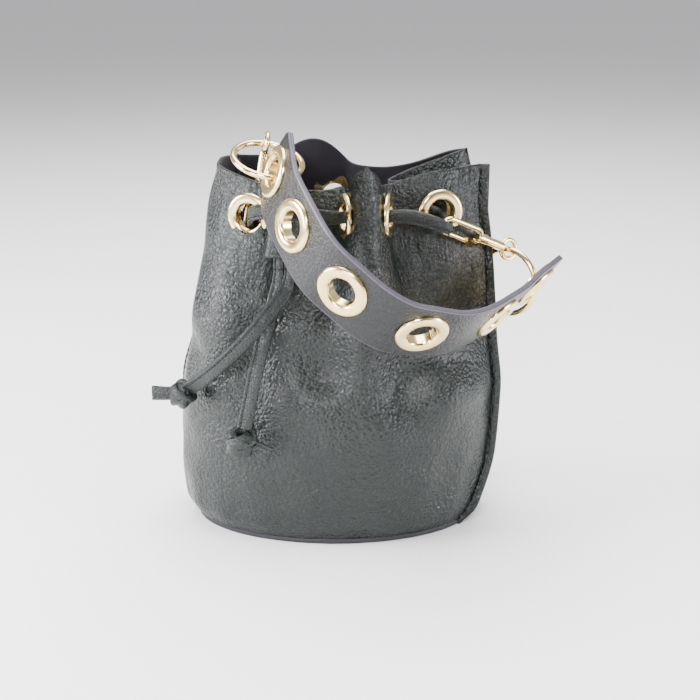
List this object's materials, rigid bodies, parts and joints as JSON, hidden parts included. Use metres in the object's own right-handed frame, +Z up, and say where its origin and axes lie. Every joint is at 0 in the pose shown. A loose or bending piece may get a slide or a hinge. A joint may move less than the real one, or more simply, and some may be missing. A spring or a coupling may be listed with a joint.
{
  "type": "bucket bag",
  "caption": "Small drawstring bucket bag of pebbled leather with eyelets at the mouth, a folded flat lace with a slider, and a short eyeleted strap on O-rings and snap hooks.",
  "frame": {"origin": "middle of the oval base, on the face that the bag stands on", "axes": "+Z up, +X towards the side with the hanging ring, -Y towards the front where the strap hangs"},
  "size_m": [0.2369, 0.1687, 0.2396],
  "materials": {
    "body_leather": "dark green pebbled leather, suede inside",
    "lace_leather": "dark green folded leather lace, stitched along one edge",
    "slider_leather": "dark green leather keeper",
    "strap_leather": "fine-grained dark leather with a painted edge",
    "strap_lining": "fine-grained dark leather with a painted edge",
    "eyelet_metal": "polished pale gold plate",
    "ring_metal": "polished pale gold plate",
    "hook_metal": "polished pale gold plate"
  },
  "bodies": {
    "bag": {"back_panel": "body_leather", "bag_eyelet_back_fold": "eyelet_metal", "bag_eyelet_back_left": "eyelet_metal", "bag_eyelet_back_middle": "eyelet_metal", "bag_eyelet_back_right": "eyelet_metal", "bag_eyelet_fold_left": "eyelet_metal", "bag_eyelet_fold_right": "eyelet_metal", "bag_eyelet_front_left": "eyelet_metal", "bag_eyelet_front_right": "eyelet_metal", "bag_washer_back_fold": "eyelet_metal", "bag_washer_back_left": "eyelet_metal", "bag_washer_back_middle": "eyelet_metal", "bag_washer_back_right": "eyelet_metal", "bag_washer_fold_left": "eyelet_metal", "bag_washer_fold_right": "eyelet_metal", "bag_washer_front_left": "eyelet_metal", "bag_washer_front_right": "eyelet_metal", "base_panel": "body_leather", "drawstring": "lace_leather", "front_panel": "body_leather", "knot_over": "lace_leather", "knot_under": "lace_leather", "lace_tail_over": "lace_leather", "lace_tail_under": "lace_leather", "left_hook_frame": "hook_metal", "left_hook_gate_pin": "hook_metal", "left_hook_gate_spring": "hook_metal", "right_hook_frame": "hook_metal", "right_hook_gate_pin": "hook_metal", "right_hook_gate_spring": "hook_metal"},
    "slider": {"lace_slider": "slider_leather"},
    "strap": {"strap_eyelet_1": "eyelet_metal", "strap_eyelet_2": "eyelet_metal", "strap_eyelet_3": "eyelet_metal", "strap_eyelet_4": "eyelet_metal", "strap_eyelet_5": "eyelet_metal", "strap_eyelet_6": "eyelet_metal", "strap_inner": "strap_lining", "strap_outer": "strap_leather", "strap_washer_1": "eyelet_metal", "strap_washer_2": "eyelet_metal", "strap_washer_3": "eyelet_metal", "strap_washer_4": "eyelet_metal", "strap_washer_5": "eyelet_metal", "strap_washer_6": "eyelet_metal"},
    "left_ring": {"left_ring": "ring_metal"},
    "right_ring": {"right_ring": "ring_metal"},
    "left_gate": {"left_hook_gate": "hook_metal"},
    "right_gate": {"right_hook_gate": "hook_metal"},
    "left_swivel": {"left_hook_swivel_eye": "hook_metal", "left_hook_swivel_rivet": "hook_metal"},
    "right_swivel": {"right_hook_swivel_eye": "hook_metal", "right_hook_swivel_rivet": "hook_metal"}
  },
  "joints": [
    {"name": "slider_slide", "type": "slide", "parent": "bag", "child": "slider", "axis": [0, -0.1701, -0.9854], "range_m": [0, 0.005]},
    {"name": "strap_swing", "type": "hinge", "parent": "bag", "child": "strap", "pos_m": [-0.035, -0.046, 0.2165], "axis": [0.8876, 0.1763, -0.4256], "range_deg": [-2, 0]},
    {"name": "left_ring_turn", "type": "hinge", "parent": "bag", "child": "left_ring", "pos_m": [-0.041, -0.0275, 0.2205], "axis": [0.2011, -0.3218, 0.9252], "continuous": true},
    {"name": "right_ring_turn", "type": "hinge", "parent": "bag", "child": "right_ring", "pos_m": [0.097, -0.0035, 0.1455], "axis": [0.6429, 0.7659, 0], "continuous": true},
    {"name": "right_gate_hinge", "type": "hinge", "parent": "bag", "child": "right_gate", "pos_m": [0.07216, -0.01715, 0.17234], "axis": [0.3552, -0.8557, -0.3763], "range_deg": [-12, 0], "stiffness_Nm_per_rad": 0.004},
    {"name": "left_gate_hinge", "type": "hinge", "parent": "bag", "child": "left_gate", "pos_m": [-0.04366, -0.01397, 0.19817], "axis": [0.1717, -0.9745, 0.1445], "range_deg": [-12, 0], "stiffness_Nm_per_rad": 0.004},
    {"name": "right_swivel_turn", "type": "hinge", "parent": "bag", "child": "right_swivel", "pos_m": [0.097, -0.0035, 0.16475], "axis": [0.7757, 0.4944, -0.3921], "range_deg": [-20, 20]},
    {"name": "left_swivel_turn", "type": "hinge", "parent": "bag", "child": "left_swivel", "pos_m": [-0.04297, -0.00955, 0.22717], "axis": [0.1744, 0.1744, 0.9691], "range_deg": [-20, 20]}
  ]
}
